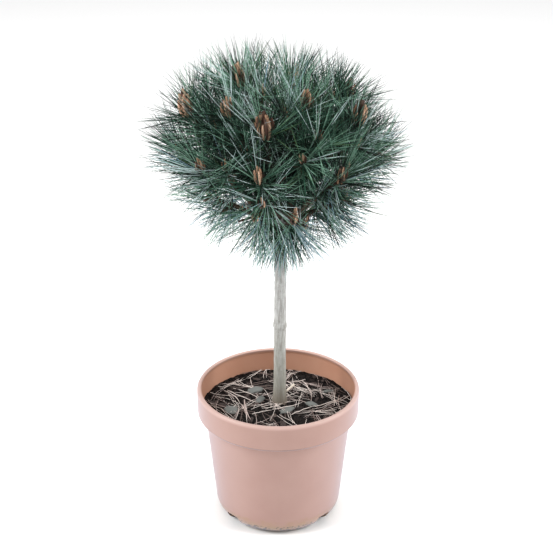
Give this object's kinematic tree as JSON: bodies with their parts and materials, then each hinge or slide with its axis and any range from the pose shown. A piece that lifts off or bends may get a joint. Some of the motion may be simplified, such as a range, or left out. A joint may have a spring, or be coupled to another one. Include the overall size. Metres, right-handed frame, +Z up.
{
  "type": "potted standard pine",
  "caption": "Grafted standard pine: a bare stem with a round crown of long-needled shoots and brown bud clusters, in a round plastic pot.",
  "frame": {"origin": "middle of the pot's flat underside, on the ground", "axes": "+Z up along the stem; -Y is the front, the side that faces the viewer; +X is to the viewer's right"},
  "size_m": [0.3568, 0.3336, 0.6779],
  "materials": {
    "pot": "satin",
    "soil": "rough",
    "bark": "rough",
    "needles": "satin",
    "candles": "rough"
  },
  "bodies": {
    "root": {"pot": "pot", "soil": "soil", "stem": "bark", "bough_low_front": "bark", "bough_low_front_right": "bark", "bough_low_right": "bark", "bough_low_back": "bark", "bough_low_back_left": "bark", "bough_low_left": "bark", "bough_low_front_left": "bark", "bough_side_front": "bark", "bough_side_front_right": "bark", "bough_side_right": "bark", "bough_side_back_right": "bark", "bough_side_back": "bark", "bough_side_back_left": "bark", "bough_side_left": "bark", "bough_side_front_left": "bark", "bough_upper_front": "bark", "bough_upper_front_right": "bark", "bough_upper_right": "bark", "bough_upper_back_right": "bark", "bough_upper_back": "bark", "bough_upper_back_left": "bark", "bough_upper_left": "bark", "bough_upper_front_left": "bark", "bough_top_right": "bark", "bough_top_left": "bark", "bough_top_back": "bark", "tuft_low_front": "needles", "tuft_low_front_right": "needles", "tuft_low_right": "needles", "tuft_low_back": "needles", "tuft_low_back_left": "needles", "tuft_low_left": "needles", "tuft_low_front_left": "needles", "tuft_side_front": "needles", "tuft_side_front_right": "needles", "tuft_side_right": "needles", "tuft_side_back_right": "needles", "tuft_side_back": "needles", "tuft_side_back_left": "needles", "tuft_side_left": "needles", "tuft_side_front_left": "needles", "tuft_upper_front": "needles", "tuft_upper_front_right": "needles", "tuft_upper_right": "needles", "tuft_upper_back_right": "needles", "tuft_upper_back": "needles", "tuft_upper_back_left": "needles", "tuft_upper_left": "needles", "tuft_upper_front_left": "needles", "tuft_top_right": "needles", "tuft_top_left": "needles", "tuft_top_back": "needles"}
  },
  "joints": []
}
